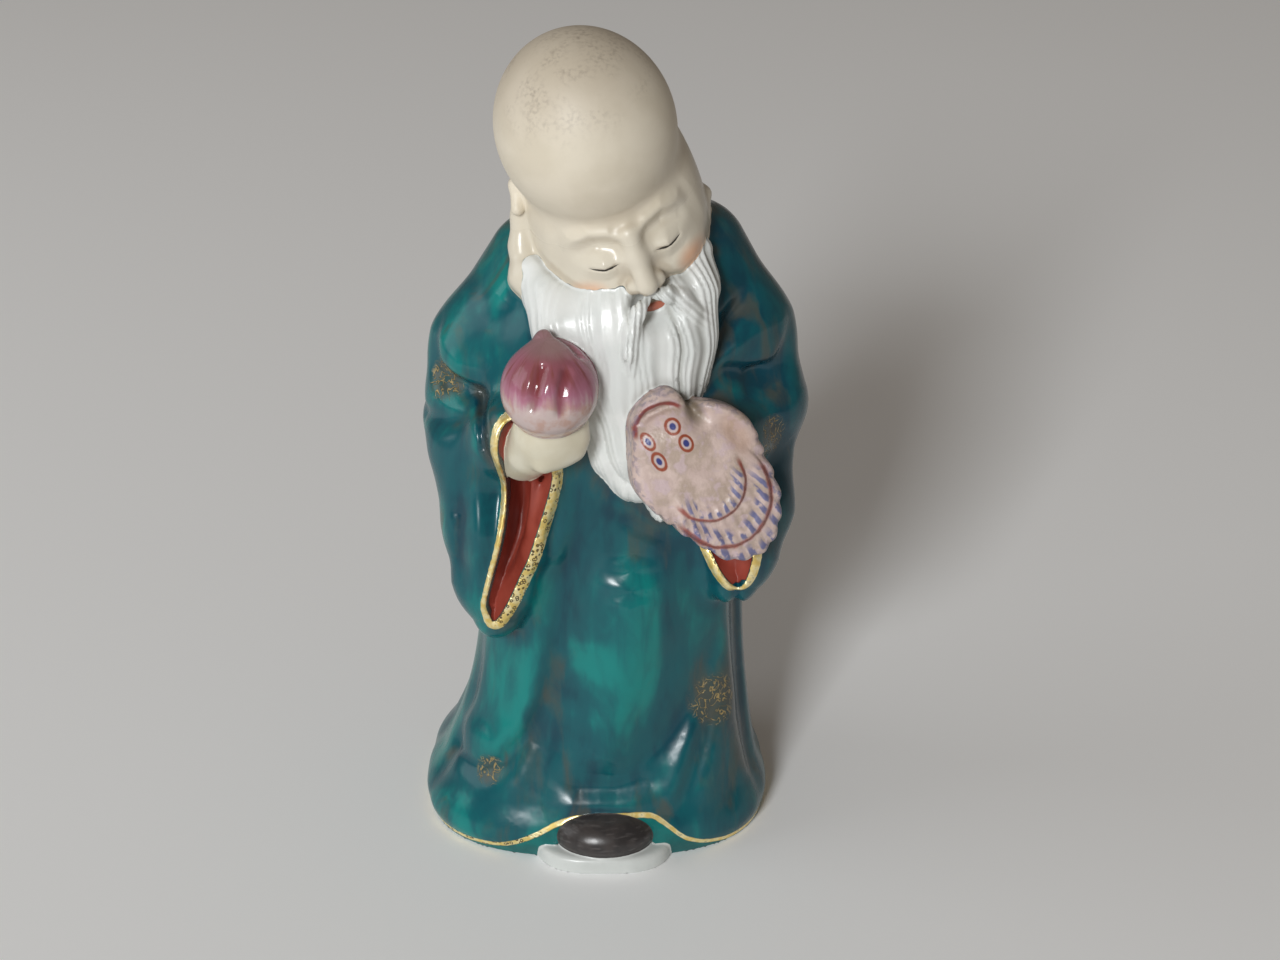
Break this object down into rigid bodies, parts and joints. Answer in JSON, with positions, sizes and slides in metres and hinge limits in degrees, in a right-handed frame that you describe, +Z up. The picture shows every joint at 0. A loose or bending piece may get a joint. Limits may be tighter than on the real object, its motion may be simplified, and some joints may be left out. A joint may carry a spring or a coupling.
{
  "type": "porcelain figure",
  "caption": "Small standing porcelain figure of a bearded elder in a long robe, holding a peach and a feather fan, flat underneath.",
  "frame": {"origin": "centre of the base, on the surface the figure stands on", "axes": "+Z up the figure; the front faces -Y and the viewer's right is +X"},
  "size_m": [0.0498, 0.0413, 0.1073],
  "materials": {
    "glazed_porcelain": "white porcelain with glossy teal enamel on the robe, iron-red linings, gilt hems, cream bisque head and pale pink fan"
  },
  "bodies": {
    "root": {"porcelain_figure": "glazed_porcelain"}
  },
  "joints": []
}
